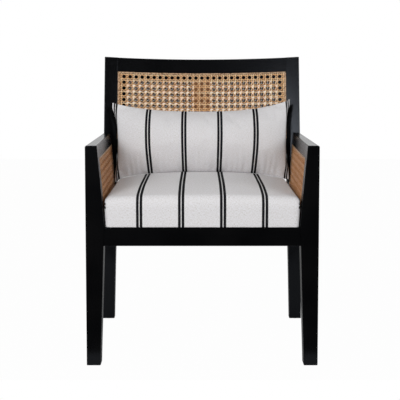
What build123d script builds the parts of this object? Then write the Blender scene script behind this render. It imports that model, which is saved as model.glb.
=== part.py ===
from build123d import *
import math
import os

# Cane armchair in millimetres: front at -Y, +Z up, right hand side at +X as seen from the front.
# Pieces are laid out with the front face of the front legs at Y = 0, and the whole chair is centred
# on its own footprint box at the end.

# Overall sizes
arm_span = 620.0
arm_top_z = 601.0
back_top_z = 839.0
fit_gap = 0.2
seat_gap = 0.3

# Front legs
leg_depth = 44.0
leg_foot_depth = 37.0
leg_top_width = 31.5
leg_rail_width = 51.0
leg_under_rail_width = 48.0
leg_foot_width = 38.0
leg_flare = 4.3
leg_edge_radius = 2.0
leg_hip_radius = 60.0
foot_radius = 2.5

# Rear posts, each a leg and a back stile in one piece
knee_z = 325.0
knee_front_y = 431.0
rake_angle = 15.0
stile_width = 41.5
stile_depth = 36.0
rear_shin_z = 190.0
rear_shin_front_y = 456.0
rear_shin_width = 38.0
rear_shin_depth = 35.0
rear_shin_flare = 2.5
rear_foot_front_y = 492.0
rear_foot_width = 37.5
rear_foot_depth = 32.0
rear_foot_flare = 10.5
post_edge_radius = 2.0
post_top_radius = 1.5

# Seat frame
seat_rail_z = 332.0
seat_rail_height = 51.0
front_rail_thickness = 28.0
rear_rail_thickness = 22.0
rear_rail_setback = 25.0
tenon_thickness = 12.0
tenon_length = 22.0
tenon_shoulder = 9.0
rear_tenon_length = 18.0
tenon_wall = 1.5
rail_edge_radius = 1.5

# Arms
arm_rail_height = 46.0
arm_rear_width = 22.5
arm_tenon_width = 10.0
arm_edge_radius = 2.0
arm_corner_radius = 4.5

# Back
back_sagitta = 32.0
back_rail_thickness = 30.0
crest_height = 46.0
lower_back_rail_height = 46.0
crest_edge_radius = 3.0
ledge_setback = 5.0
ledge_height = 24.0
ledge_width = 27.0
batten_width = 50.0

# Cane webbing and the reed splines that hold its edges
cane_thickness = 1.5
cane_column_pitch = 19.15
cane_row_pitch = 18.8
cane_rows = 11
cane_hole = 9.0
cane_margin = 15.0
cane_side_margin = 15.0
panel_ledge = 10.0
panel_recess = 4.0
spline_width = 5.0
spline_thickness = 2.2
cane_gap = 0.1

# Corner blocks and seat screws
block_leg = 55.0
block_height = 30.0
block_side_gap = 2.0
screw_diameter = 4.5
screw_head_diameter = 8.5
screw_head_height = 2.6
board_screw_inset = 23.0
board_screw_bite = 8.0

# Seat
seat_overhang = 2.0
seat_length = 472.0
seat_side_clearance = 1.3
seat_side_flare = 4.0
seat_edge_height = 80.0
seat_crown = 24.0
seat_corner_radius = 15.0
seat_front_radius = 32.0
seat_front_rise = 3.0
seat_rear_radius = 20.0
cover_thickness = 2.5
board_thickness = 12.0
board_inset = 6.0
dust_cover_thickness = 0.8
dust_cover_inset = 12.0

# Lumbar pillow
pillow_side_clearance = 1.6
pillow_waist_height = 188.0
pillow_corner_rise = 32.0
pillow_corner_drop = 27.0
pillow_draw_in = 14.0
pillow_front_bulge = 74.0
pillow_back_bulge = 62.0
pillow_columns = 12
pillow_rows = 6
pillow_setback = 32.0
pillow_cover = 3.0

# Foot glides
glide_diameter = 22.0
glide_height = 1.6

# Values that follow from the sizes above
half_span = arm_span / 2
seat_rail_top = seat_rail_z + seat_rail_height
rake_sin = math.sin(math.radians(rake_angle))
rake_cos = math.cos(math.radians(rake_angle))
stile_inner = half_span - stile_width
back_radius = (half_span ** 2 + back_sagitta ** 2) / (2 * back_sagitta)
cane_columns = 2 * int((stile_inner - cane_side_margin) / cane_column_pitch) + 1
cut_margin = 60.0


def back_depth(u, offset=0.0):
    """Distance of the curved back behind the line between its outer edges, across the rake."""
    return back_sagitta - back_radius + math.sqrt((back_radius + offset) ** 2 - u ** 2)


# The raked frame: local x runs across the chair, y goes back square to the rake, z goes up the slope
raked = Plane(origin=(0, knee_front_y, knee_z), x_dir=(1, 0, 0), z_dir=(0, rake_sin, rake_cos))
stile_skew = back_depth(stile_inner)
stile_top = (back_top_z - knee_z) / rake_cos
crest_bottom = stile_top - crest_height
opening_height = (cane_rows - 1) * cane_row_pitch + 2 * cane_margin
lower_rail_top = crest_bottom - opening_height
lower_rail_bottom = lower_rail_top - lower_back_rail_height


def post_front_y(x, z):
    """Y of the front face of the raked stile at a given place across and up the chair."""
    skew = stile_skew * (half_span - abs(x)) / stile_width
    return knee_front_y + (z - knee_z) * rake_sin / rake_cos + skew / rake_cos


def leg_outer_x(z):
    return half_span + leg_flare * (1 - z / arm_top_z)


def quad(points):
    return make_face(Polyline(*points, close=True))


def span_box(x0, x1, y0, y1, z0, z1):
    """A box between two corners."""
    centre = Pos((x0 + x1) / 2, (y0 + y1) / 2, (z0 + z1) / 2)
    return centre * Box(x1 - x0, y1 - y0, z1 - z0)


def grown_box(bounds, gap):
    """A box between two corners, larger by a gap on every side."""
    x0, x1, y0, y1, z0, z1 = bounds
    return span_box(x0 - gap, x1 + gap, y0 - gap, y1 + gap, z0 - gap, z1 + gap)


def raked_box(bounds, gap=0.0):
    """A box whose corners are given in the raked frame."""
    return raked.location * grown_box(bounds, gap)


def both_sides(name, solid):
    """The right hand piece and its mirror image."""
    chair[name + "_right"] = solid
    chair[name + "_left"] = mirror(solid, about=Plane.YZ)


def back_slab(u0, u1, depth0, depth1, v0, v1):
    """A piece of the curved back: between two concentric arcs across, and two levels up the slope."""
    middle = (u0 + u1) / 2
    front = ThreePointArc(
        (u0, back_depth(u0, depth0)),
        (middle, back_depth(middle, depth0)),
        (u1, back_depth(u1, depth0)),
    )
    rear = ThreePointArc(
        (u1, back_depth(u1, depth1)),
        (middle, back_depth(middle, depth1)),
        (u0, back_depth(u0, depth1)),
    )
    ends = Line(front @ 1, rear @ 0) + Line(rear @ 1, front @ 0)
    profile = make_face(front + rear + ends)
    return raked.location * Pos(0, 0, v0) * extrude(profile, v1 - v0, dir=(0, 0, 1))


def top_edges(solid, plane_level, direction):
    """Edges that lie furthest along a direction."""
    axis = Axis(plane_level, direction)
    return solid.faces().sort_by(axis)[-1].edges()


chair = {}

# Tenons are boxes that reach from a rail into a leg or post, so each mortise is cut from the same bounds
tenon_z0 = seat_rail_z + tenon_shoulder
tenon_z1 = seat_rail_top - tenon_shoulder
leg_inner_at_rail = leg_outer_x(seat_rail_top) - leg_rail_width
leg_inner_under_rail = leg_outer_x(seat_rail_z) - leg_under_rail_width
front_tenon_y = (front_rail_thickness - tenon_thickness) / 2
front_tenon = (
    leg_inner_at_rail - tenon_shoulder,
    leg_inner_at_rail + tenon_length,
    front_tenon_y,
    front_tenon_y + tenon_thickness,
    tenon_z0,
    tenon_z1,
)
rear_rail_y = knee_front_y + rear_rail_setback
rear_tenon_y = rear_rail_y + (rear_rail_thickness - tenon_thickness) / 2
rear_tenon = (
    stile_inner - tenon_shoulder,
    stile_inner + tenon_length,
    rear_tenon_y,
    rear_tenon_y + tenon_thickness,
    tenon_z0,
    tenon_z1,
)
side_tenon_x = half_span - tenon_shoulder - tenon_thickness
side_tenon_end = rear_tenon_y - 2 * fit_gap - tenon_wall
side_tenon_front = (
    side_tenon_x,
    side_tenon_x + tenon_thickness,
    leg_depth - rear_tenon_length,
    leg_depth + tenon_shoulder,
    tenon_z0,
    tenon_z1,
)
side_tenon_rear = (
    side_tenon_x,
    side_tenon_x + tenon_thickness,
    post_front_y(side_tenon_x, seat_rail_z) - tenon_shoulder,
    side_tenon_end,
    tenon_z0,
    tenon_z1,
)
arm_bottom = arm_top_z - arm_rail_height
arm_tenon_x = half_span - tenon_shoulder - arm_tenon_width
arm_tenon_z0 = arm_bottom + tenon_shoulder
arm_tenon_z1 = arm_top_z - tenon_shoulder
arm_tenon_front = (
    arm_tenon_x,
    arm_tenon_x + arm_tenon_width,
    leg_depth - rear_tenon_length,
    leg_depth + tenon_shoulder,
    arm_tenon_z0,
    arm_tenon_z1,
)
arm_tenon_rear = (
    arm_tenon_x,
    arm_tenon_x + arm_tenon_width,
    post_front_y(half_span, arm_bottom) - tenon_shoulder,
    post_front_y(half_span, arm_top_z) + rear_tenon_length,
    arm_tenon_z0,
    arm_tenon_z1,
)
back_tenon_depth = stile_skew + (back_rail_thickness - tenon_thickness) / 2


def back_tenon(v0, v1):
    """Tenon of a curved back rail, in the raked frame."""
    return (
        stile_inner - tenon_shoulder,
        stile_inner + tenon_length,
        back_tenon_depth,
        back_tenon_depth + tenon_thickness,
        v0 + tenon_shoulder,
        v1 - tenon_shoulder,
    )


crest_tenon = back_tenon(crest_bottom, stile_top)
lower_tenon = back_tenon(lower_rail_bottom, lower_rail_top)

# The two faces of a side frame that carry cane: local z points into the thickness of the arm
panel_slope = (leg_outer_x(arm_top_z) - leg_top_width - leg_inner_at_rail) / (arm_top_z - seat_rail_top)
arm_front_inner = half_span - leg_top_width
arm_rear_inner = half_span - arm_rear_width
arm_run = post_front_y(arm_rear_inner, arm_top_z) - leg_depth
arm_turn = (arm_rear_inner - arm_front_inner) / arm_run
inner_along = Vector(arm_turn, 1, 0)
inner_up = Vector(panel_slope, 0, 1)
inner_face = Plane(
    origin=(arm_front_inner, leg_depth, arm_top_z),
    x_dir=inner_along,
    z_dir=inner_along.cross(inner_up),
)
outer_face = Plane(origin=(half_span, leg_depth, arm_top_z), x_dir=(0, 1, 0), z_dir=(-1, 0, 0))


def inner_x(y, z):
    return arm_front_inner + arm_turn * (y - leg_depth) - panel_slope * (arm_top_z - z)


def outer_x(y, z):
    return half_span


def panel_outline(face, face_x, lap, rear_gap):
    """Outline of a side panel on one face: the opening plus a lap onto the leg and the two rails."""
    top = arm_bottom + lap
    bottom = seat_rail_top - lap
    front = leg_depth - lap
    corners = []
    for y, z in ((front, top), (None, top), (None, bottom), (front, bottom)):
        if y is None:
            rear_x = face_x(post_front_y(half_span, z), z)
            y = post_front_y(rear_x, z) - rear_gap
        corners.append(face.to_local_coords(Vector(face_x(y, z), y, z)))
    return quad([(corner.X, corner.Y) for corner in corners])


def panel_slab(face, outline, depth0, depth1):
    """A flat sheet on a side panel's outline, between two depths below the face."""
    return face.location * Pos(0, 0, depth0) * extrude(outline, depth1 - depth0, dir=(0, 0, 1))


def panel_pocket(face, face_x):
    """The rebate that the cane and its spline lie in, cut through the open side of the face."""
    outline = panel_outline(face, face_x, panel_ledge + seat_gap, -cut_margin)
    return panel_slab(face, outline, -cut_margin / 2, panel_recess)


inner_pocket = panel_pocket(inner_face, inner_x)
outer_pocket = panel_pocket(outer_face, outer_x)

# Front leg: one tapered upright from the floor to the arm
leg_foot_outer = leg_outer_x(glide_height)
leg_profile = quad([
    (half_span, 0, arm_top_z),
    (leg_foot_outer, 0, glide_height),
    (leg_foot_outer - leg_foot_width, 0, glide_height),
    (leg_inner_under_rail, 0, seat_rail_z),
    (leg_inner_at_rail, 0, seat_rail_top),
    (arm_front_inner, 0, arm_top_z),
])


def rounded(face, corner, radius):
    """A flat face with the corner nearest to a point rounded."""
    return fillet(face.vertices().sort_by_distance(corner)[0], radius)


leg_profile = rounded(leg_profile, (half_span, 0, arm_top_z), arm_corner_radius)
leg_profile = rounded(leg_profile, (arm_front_inner, 0, arm_top_z), arm_edge_radius)
leg_profile = rounded(leg_profile, (leg_foot_outer, 0, glide_height), foot_radius)
leg_profile = rounded(leg_profile, (leg_foot_outer - leg_foot_width, 0, glide_height), foot_radius)
leg_profile = rounded(leg_profile, (leg_inner_under_rail, 0, seat_rail_z), leg_hip_radius)
leg_profile = rounded(leg_profile, (leg_inner_at_rail, 0, seat_rail_top), leg_hip_radius)
front_leg = extrude(leg_profile, leg_depth, dir=(0, 1, 0))
front_leg = fillet(front_leg.faces().sort_by(Axis.Y)[0].edges(), leg_edge_radius)
taper_run = Vector(0, leg_foot_depth - leg_depth, -seat_rail_z)
taper = Plane(origin=(0, leg_depth, seat_rail_z), x_dir=(1, 0, 0), z_dir=taper_run.cross(Vector(1, 0, 0)))
front_leg = split(front_leg, bisect_by=taper, keep=Keep.TOP)
front_leg -= grown_box(front_tenon, fit_gap)
front_leg -= grown_box(side_tenon_front, fit_gap)
front_leg -= grown_box(arm_tenon_front, fit_gap)
front_leg -= inner_pocket
front_leg -= outer_pocket

# Rear post: a swept leg below the knee and a straight raked stile above it
def post_section(plane, outer, inner, front, skew, depth):
    """Rounded section of a rear post on a plane: x across, y to the rear."""
    face = quad([
        (outer, front),
        (inner, front + skew),
        (inner, front + skew + depth),
        (outer, front + depth),
    ])
    return plane.location * fillet(face.vertices(), post_edge_radius)


stile_face = post_section(raked, half_span, stile_inner, 0, stile_skew, stile_depth)
shin_plane = Plane(origin=(0, 0, rear_shin_z))
shin_outer = half_span + rear_shin_flare
shin_face = post_section(
    shin_plane, shin_outer, shin_outer - rear_shin_width, rear_shin_front_y, 0, rear_shin_depth
)
foot_plane = Plane(origin=(0, 0, glide_height))
foot_outer = half_span + rear_foot_flare
foot_face = post_section(
    foot_plane, foot_outer, foot_outer - rear_foot_width, rear_foot_front_y, 0, rear_foot_depth
)
stile = extrude(stile_face, stile_top, dir=raked.z_dir)
stile = fillet(top_edges(stile, (0, 0, 0), raked.z_dir), post_top_radius)
rear_leg = loft([foot_face, shin_face, stile_face], ruled=True)
rear_post = stile + rear_leg
for tenon in (rear_tenon, side_tenon_rear, arm_tenon_rear):
    rear_post -= grown_box(tenon, fit_gap)
for tenon in (crest_tenon, lower_tenon):
    rear_post -= raked_box(tenon, fit_gap)

# Front and rear seat rails with a tenon at each end
front_rail_half = leg_inner_at_rail - fit_gap / 2
front_rail_low_half = leg_inner_under_rail - fit_gap / 2
front_rail_profile = quad([
    (front_rail_half, 0, seat_rail_top),
    (front_rail_low_half, 0, seat_rail_z),
    (-front_rail_low_half, 0, seat_rail_z),
    (-front_rail_half, 0, seat_rail_top),
])
front_rail = extrude(front_rail_profile, front_rail_thickness, dir=(0, 1, 0))
front_rail = fillet(front_rail.edges().filter_by(Axis.X), rail_edge_radius)
rear_rail = span_box(
    -stile_inner, stile_inner, rear_rail_y, rear_rail_y + rear_rail_thickness, seat_rail_z, seat_rail_top
)
rear_rail = fillet(rear_rail.edges().filter_by(Axis.X), rail_edge_radius)
front_tenon_solid = grown_box(front_tenon, 0)
rear_tenon_solid = grown_box(rear_tenon, 0)
front_rail = front_rail + front_tenon_solid + mirror(front_tenon_solid, about=Plane.YZ)
rear_rail = rear_rail + rear_tenon_solid + mirror(rear_tenon_solid, about=Plane.YZ)

# Side seat rail and arm rail, cut to the front face of the rear post
post_face = Plane(
    origin=(half_span, knee_front_y - fit_gap / 2, knee_z),
    x_dir=Vector(-stile_width, stile_skew * rake_cos, -stile_skew * rake_sin),
    z_dir=Vector(-stile_width, stile_skew * rake_cos, -stile_skew * rake_sin).cross(raked.z_dir),
)


def side_rail_x(y):
    return leg_inner_at_rail + arm_turn * (y - leg_depth)


rail_far_y = rear_rail_y
side_rail_profile = quad([
    (half_span, leg_depth, 0),
    (half_span, rail_far_y, 0),
    (side_rail_x(rail_far_y), rail_far_y, 0),
    (side_rail_x(leg_depth), leg_depth, 0),
])
side_rail = Pos(0, 0, seat_rail_z) * extrude(side_rail_profile, seat_rail_height, dir=(0, 0, 1))
side_rail = split(side_rail, bisect_by=post_face, keep=Keep.BOTTOM)
side_rail = side_rail + grown_box(side_tenon_front, 0) + grown_box(side_tenon_rear, 0)
side_rail -= inner_pocket
side_rail -= outer_pocket

arm_rail = span_box(
    arm_front_inner - cut_margin / 2, half_span, leg_depth, post_front_y(arm_front_inner, arm_top_z),
    arm_bottom, arm_top_z
)
arm_rail = split(arm_rail, bisect_by=inner_face, keep=Keep.TOP)
arm_rail = split(arm_rail, bisect_by=post_face, keep=Keep.BOTTOM)
arm_top_pair = arm_rail.faces().sort_by(Axis.Z)[-1].edges().sort_by(Axis.X)
arm_rail = fillet(arm_top_pair[-1], arm_corner_radius)
arm_top_pair = arm_rail.faces().filter_by(Axis.Z).sort_by(Axis.Z)[-1].edges().sort_by(Axis.X)
arm_rail = fillet(arm_top_pair[0], arm_edge_radius)
arm_rail = arm_rail + grown_box(arm_tenon_front, 0) + grown_box(arm_tenon_rear, 0)
arm_rail -= inner_pocket
arm_rail -= outer_pocket

both_sides("arm_rail", arm_rail)

# Crest rail and lower back rail, curved in plan
def back_rail(v0, v1):
    return back_slab(-stile_inner, stile_inner, 0, back_rail_thickness, v0, v1)


def with_tenons(rail, tenon):
    tenon_solid = raked_box(tenon)
    return rail + tenon_solid + mirror(tenon_solid, about=Plane.YZ)


crest = back_rail(crest_bottom, stile_top)
crest_ends = crest.faces().sort_by(Axis.X)
crest_long_edges = crest.edges() - crest_ends[0].edges() - crest_ends[-1].edges()
crest = fillet(crest_long_edges.group_by(Axis((0, 0, 0), raked.z_dir))[-1], crest_edge_radius)
chair["crest_rail"] = with_tenons(crest, crest_tenon)
chair["lower_back_rail"] = with_tenons(back_rail(lower_rail_bottom, lower_rail_top), lower_tenon)

# Ledge strips round the inside of the back opening, and the natural wood batten between them
ledge_rear = back_rail_thickness - ledge_setback
side_ledge_bottom = lower_rail_top + ledge_height
side_ledge_top = crest_bottom - ledge_height
chair["back_ledge_top"] = back_slab(
    -stile_inner, stile_inner, ledge_setback, ledge_rear, side_ledge_top, crest_bottom
)
chair["back_ledge_bottom"] = back_slab(
    -stile_inner, stile_inner, ledge_setback, ledge_rear, lower_rail_top, side_ledge_bottom
)
side_ledge = back_slab(
    stile_inner - ledge_width, stile_inner, ledge_setback, ledge_rear, side_ledge_bottom, side_ledge_top
)
both_sides("back_ledge", side_ledge)
chair["back_centre_batten"] = back_slab(
    -batten_width / 2, batten_width / 2, ledge_setback, ledge_rear, side_ledge_bottom, side_ledge_top
)

# Back cane: two curved sheets pressed onto the ledges. The front one is open between its strands, with one
# flat strip for each column of holes
cane_half = stile_inner - seat_gap
cane_low = lower_rail_top + seat_gap
cane_high = crest_bottom - seat_gap
front_cane_rear = ledge_setback - cane_gap
front_cane_front = front_cane_rear - cane_thickness
rear_cane_front = ledge_rear + cane_gap
rear_cane_rear = rear_cane_front + cane_thickness
cane_middle = (cane_low + cane_high) / 2
net_plane = Plane(
    origin=raked.from_local_coords((0, 0, cane_middle)), x_dir=(1, 0, 0), z_dir=raked.y_dir
)
net_face = Rectangle(2 * stile_inner, opening_height) - GridLocations(
    cane_column_pitch, cane_row_pitch, cane_columns, cane_rows
) * Rectangle(cane_hole, cane_hole)
net = net_plane.location * extrude(net_face, back_sagitta + ledge_setback, dir=(0, 0, 1))
strip_edges = [(column - cane_columns / 2) * cane_column_pitch for column in range(cane_columns + 1)]
strip_edges = [-cane_half] + strip_edges + [cane_half]
strip_fronts = [(u, back_depth(u, front_cane_front)) for u in strip_edges]
strip_rears = [(u, back_depth(u, front_cane_rear)) for u in reversed(strip_edges)]
strips = extrude(quad(strip_fronts + strip_rears), cane_high - cane_low, dir=(0, 0, 1))
chair["back_cane_front"] = raked.location * Pos(0, 0, cane_low) * strips & net
chair["back_cane_rear"] = back_slab(
    -cane_half, cane_half, rear_cane_front, rear_cane_rear, cane_low, cane_high
)


def back_spline(depth0, depth1):
    ring = back_slab(-cane_half, cane_half, depth0, depth1, cane_low, cane_high)
    window = raked_box((
        spline_width - cane_half,
        cane_half - spline_width,
        -cut_margin,
        back_sagitta + cut_margin,
        cane_low + spline_width,
        cane_high - spline_width,
    ))
    return ring - window


front_spline_rear = front_cane_front - cane_gap
rear_spline_front = rear_cane_rear + cane_gap
chair["back_spline_front"] = back_spline(front_spline_rear - spline_thickness, front_spline_rear)
chair["back_spline_rear"] = back_spline(rear_spline_front, rear_spline_front + spline_thickness)

# Side panels: a sheet of cane and its spline on each face of both side frames
panel_rear_gap = seat_gap + panel_recess * stile_skew / (stile_width * rake_cos)
spline_rear = panel_recess - cane_thickness
spline_front = spline_rear - spline_thickness
for face_name, face, face_x in (("inner", inner_face, inner_x), ("outer", outer_face, outer_x)):
    outline = panel_outline(face, face_x, panel_ledge, panel_rear_gap)
    cane = panel_slab(face, outline, spline_rear, panel_recess)
    window = offset(outline, -spline_width, kind=Kind.INTERSECTION)
    spline = panel_slab(face, outline - window, spline_front, spline_rear)
    both_sides("arm_cane_" + face_name, cane)
    both_sides("arm_spline_" + face_name, spline)

# Corner blocks glued into the angles of the seat frame, and the screws that go up through them to the seat
block_top = seat_rail_top
block_bottom = block_top - block_height
board_bottom = seat_rail_top
board_screw_length = block_height - screw_head_height + board_screw_bite
upwards = (Align.CENTER, Align.CENTER, Align.MIN)
downwards = (Align.CENTER, Align.CENTER, Align.MAX)


def screw(length):
    """A flat-headed wood screw along +Z, with the underside of its head at z = 0."""
    shaft = Cylinder(screw_diameter / 2, length, align=upwards)
    head = Cylinder(screw_head_diameter / 2, screw_head_height, align=downwards)
    return shaft + head


def screw_hole(length):
    """The hole for a screw, with a clear bore behind its head."""
    bore = Cylinder(screw_head_diameter / 2 + fit_gap, block_leg, align=downwards)
    return bore + Cylinder(screw_diameter / 2 + fit_gap, length + fit_gap, align=upwards)


board_screws = []
board_holes = []
corners = (
    ("front", leg_inner_at_rail - block_side_gap, front_rail_thickness, 1),
    ("rear", side_rail_x(rear_rail_y - block_leg) - block_side_gap, rear_rail_y, -1),
)
for corner_name, corner_x, corner_y, inward in corners:
    block_profile = quad([
        (corner_x, corner_y),
        (corner_x - block_leg, corner_y),
        (corner_x, corner_y + inward * block_leg),
    ])
    block = Pos(0, 0, block_bottom) * extrude(block_profile, block_height, dir=(0, 0, 1))
    board_seat = Plane(
        origin=(
            corner_x - board_screw_inset,
            corner_y + inward * board_screw_inset,
            block_bottom + screw_head_height,
        )
    )
    board_screws.append(board_seat.location * screw(board_screw_length))
    board_holes.append(board_seat.location * screw_hole(board_screw_length))
    both_sides("corner_block_" + corner_name, block - board_holes[-1])


def with_mirrors(solids):
    return solids + [mirror(solid, about=Plane.YZ) for solid in solids]


chair["front_seat_rail"] = front_rail
chair["rear_seat_rail"] = rear_rail
both_sides("side_seat_rail", side_rail)
chair["seat_board_screws"] = Compound(with_mirrors(board_screws))

# Foot glides: a round nylon pad under each leg
front_glide = Pos(leg_outer_x(glide_height) - leg_foot_width / 2, leg_foot_depth / 2, 0)
rear_glide = Pos(foot_outer - rear_foot_width / 2, rear_foot_front_y + rear_foot_depth / 2, 0)
glide = Cylinder(glide_diameter / 2, glide_height, align=upwards)
both_sides("front_leg", front_leg)
both_sides("rear_post", rear_post)
chair["foot_glides"] = Compound(with_mirrors([front_glide * glide, rear_glide * glide]))

# Seat pad: plywood board, foam and a cover that is open below where it is tacked to the board
seat_front_y = -seat_overhang
seat_half_width = leg_inner_at_rail - seat_side_clearance
seat_edge_z = seat_rail_top + seat_edge_height
seat_top_z = seat_edge_z + seat_crown
seat_middle_y = seat_front_y + seat_length / 2


def seat_across(inset, bottom):
    """Front view of the pad: sides that flare upwards, round shoulders and a crowned top."""
    foot = seat_half_width - inset
    half = foot + seat_side_flare
    edge = seat_edge_z - inset
    radius = seat_corner_radius - inset
    shoulder = radius * (1 - math.sqrt(0.5))
    left = Line((-foot, bottom), (-half, edge - radius))
    left_round = ThreePointArc(left @ 1, (shoulder - half, edge - shoulder), (radius - half, edge))
    top = ThreePointArc(left_round @ 1, (0, edge + seat_crown), (half - radius, edge))
    right_round = ThreePointArc(top @ 1, (half - shoulder, edge - shoulder), (half, edge - radius))
    right = Line(right_round @ 1, (foot, bottom))
    base = Line(right @ 1, left @ 0)
    return make_face(left + left_round + top + right_round + right + base)


def seat_along(inset, bottom):
    """Side view of the pad: a rolled front edge, and a top that rises to the crown and runs on to the rear."""
    front = seat_front_y + inset
    rear = seat_front_y + seat_length - inset
    roll = seat_front_radius - inset
    roll_top = seat_edge_z + seat_front_rise - inset
    roll_shoulder = roll * (1 - math.sqrt(0.5))
    end = seat_rear_radius - inset
    end_shoulder = end * (1 - math.sqrt(0.5))
    high = seat_top_z - inset
    face = Line((front, bottom), (front, roll_top - roll))
    front_round = ThreePointArc(
        face @ 1, (front + roll_shoulder, roll_top - roll_shoulder), (front + roll, roll_top)
    )
    rise = Line(front_round @ 1, (seat_middle_y, high))
    run = Line(rise @ 1, (rear - end, high))
    rear_round = ThreePointArc(run @ 1, (rear - end_shoulder, high - end_shoulder), (rear, high - end))
    back = Line(rear_round @ 1, (rear, bottom))
    base = Line(back @ 1, face @ 0)
    return make_face(face + front_round + rise + run + rear_round + back + base)


def seat_form(inset, bottom):
    """The padded shape of the seat, drawn in by an inset: what its front and side views have in common."""
    across = Plane(origin=(0, seat_front_y + inset, 0), x_dir=(1, 0, 0), z_dir=(0, -1, 0))
    widest = seat_half_width + seat_side_flare
    along = Plane(origin=(-widest, 0, 0), x_dir=(0, 1, 0), z_dir=(1, 0, 0))
    crowned = across.location * extrude(seat_across(inset, bottom), 2 * inset - seat_length)
    rolled = along.location * extrude(seat_along(inset, bottom), 2 * widest)
    return crowned & rolled


board_top = board_bottom + board_thickness
seat_hollow = seat_form(cover_thickness, seat_rail_top - cover_thickness)
chair["seat_cover"] = seat_form(0, seat_rail_top) - seat_hollow
chair["seat_foam"] = seat_form(cover_thickness + seat_gap, board_top + seat_gap)
board_edge = cover_thickness + board_inset
board_half = seat_half_width - board_edge
board = span_box(
    -board_half,
    board_half,
    seat_front_y + board_edge,
    seat_front_y + seat_length - board_edge,
    board_bottom,
    board_top,
)
for hole in with_mirrors(board_holes):
    board -= hole
chair["seat_board"] = board

# Dust cover: thin cloth tacked under the seat rails, notched round the legs and posts
dust_side = half_span - dust_cover_inset
dust_front = leg_inner_under_rail - dust_cover_inset
dust_rear = stile_inner - dust_cover_inset
dust_notch_front = leg_depth + dust_cover_inset
dust_notch_rear = post_front_y(half_span, knee_z) - dust_cover_inset
dust_far = rear_rail_y + rear_rail_thickness - dust_cover_inset / 2
dust_right = [
    (dust_front, dust_cover_inset),
    (dust_front, dust_notch_front),
    (dust_side, dust_notch_front),
    (dust_side, dust_notch_rear),
    (dust_rear, dust_notch_rear),
    (dust_rear, dust_far),
]
dust_outline = quad(dust_right + [(-x, y) for x, y in reversed(dust_right)])
dust_level = Pos(0, 0, seat_rail_z - dust_cover_thickness)
chair["dust_cover"] = dust_level * extrude(dust_outline, dust_cover_thickness, dir=(0, 0, 1))

# Lumbar pillow: a knife-edged cushion that leans with the back, and the filling inside it
pillow_base_y = knee_front_y + (seat_edge_z - knee_z) * rake_sin / rake_cos - pillow_setback
pillow_base_z = seat_top_z + seat_gap
pillow_half = inner_x(pillow_base_y, pillow_base_z - pillow_corner_drop) - pillow_side_clearance
pillow_low = (pillow_base_z - knee_z - pillow_setback * rake_sin) / rake_cos


def pillow_point(across, up, bulge, end_inset):
    """A point of one side of the pillow: across and up run from -1 to 1, from seam to seam."""
    fullness = (1 - abs(across) ** 3) ** 0.85 * (1 - up ** 2) ** 0.8
    half = pillow_half - end_inset - pillow_draw_in * (1 - up ** 2)
    low = pillow_low + end_inset - pillow_corner_drop * abs(across) ** 2.5
    high = pillow_low - end_inset + pillow_waist_height + pillow_corner_rise * abs(across) ** 3
    level = low + (high - low) * (up + 1) / 2
    return raked.from_local_coords((across * half, bulge * fullness - pillow_setback, level))


def pillow_form(inset, end_inset):
    """A cushion of flat facets: full in the middle, with a sharp seam round it that draws in at the sides."""
    facets = []
    for bulge in (inset - pillow_front_bulge, pillow_back_bulge - inset):
        rows = []
        for row in range(pillow_rows + 1):
            up = 2 * row / pillow_rows - 1
            steps = [2 * column / pillow_columns - 1 for column in range(pillow_columns + 1)]
            rows.append([pillow_point(across, up, bulge, end_inset) for across in steps])
        for row in range(pillow_rows):
            for column in range(pillow_columns):
                a, b = rows[row][column:column + 2]
                d, c = rows[row + 1][column:column + 2]
                rising = (row < pillow_rows / 2) == (column < pillow_columns / 2)
                corners = ((a, b, c), (a, c, d)) if rising else ((a, b, d), (b, c, d))
                facets += [Face(Wire.make_polygon(three)) for three in corners]
    return Solid(Shell(facets))


filling_inset = pillow_draw_in + pillow_cover
chair["lumbar_pillow"] = pillow_form(0, 0) - pillow_form(pillow_cover, filling_inset)
chair["pillow_insert"] = pillow_form(pillow_cover + seat_gap, filling_inset + seat_gap)

# Centre the chair on its footprint and write one file for each piece
boxes = [piece.bounding_box() for piece in chair.values()]
front_most = min(box.min.Y for box in boxes)
rear_most = max(box.max.Y for box in boxes)
centred = Pos(0, -(front_most + rear_most) / 2, 0)
os.makedirs("parts", exist_ok=True)
for name, piece in chair.items():
    solids = [centred * solid for solid in piece.solids()]
    export_step(solids[0] if len(solids) == 1 else Compound(solids), os.path.join("parts", name + ".step"))
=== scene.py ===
import bpy
import math
import numpy as np
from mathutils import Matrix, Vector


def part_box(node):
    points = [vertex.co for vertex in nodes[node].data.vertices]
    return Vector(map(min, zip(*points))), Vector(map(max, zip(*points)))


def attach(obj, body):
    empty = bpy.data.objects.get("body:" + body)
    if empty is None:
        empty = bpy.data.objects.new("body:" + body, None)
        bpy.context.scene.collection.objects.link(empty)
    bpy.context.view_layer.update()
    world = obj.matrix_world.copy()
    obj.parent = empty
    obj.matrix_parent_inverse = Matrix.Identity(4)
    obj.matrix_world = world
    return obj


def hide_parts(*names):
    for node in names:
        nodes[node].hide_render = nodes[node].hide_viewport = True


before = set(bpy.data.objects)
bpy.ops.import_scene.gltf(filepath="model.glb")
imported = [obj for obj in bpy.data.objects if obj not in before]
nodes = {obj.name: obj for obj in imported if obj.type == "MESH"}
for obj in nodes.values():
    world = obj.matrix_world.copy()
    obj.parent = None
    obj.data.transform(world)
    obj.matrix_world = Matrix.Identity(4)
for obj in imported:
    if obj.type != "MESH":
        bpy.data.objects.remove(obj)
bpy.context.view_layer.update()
bpy.ops.object.select_all(action="DESELECT")

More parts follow.
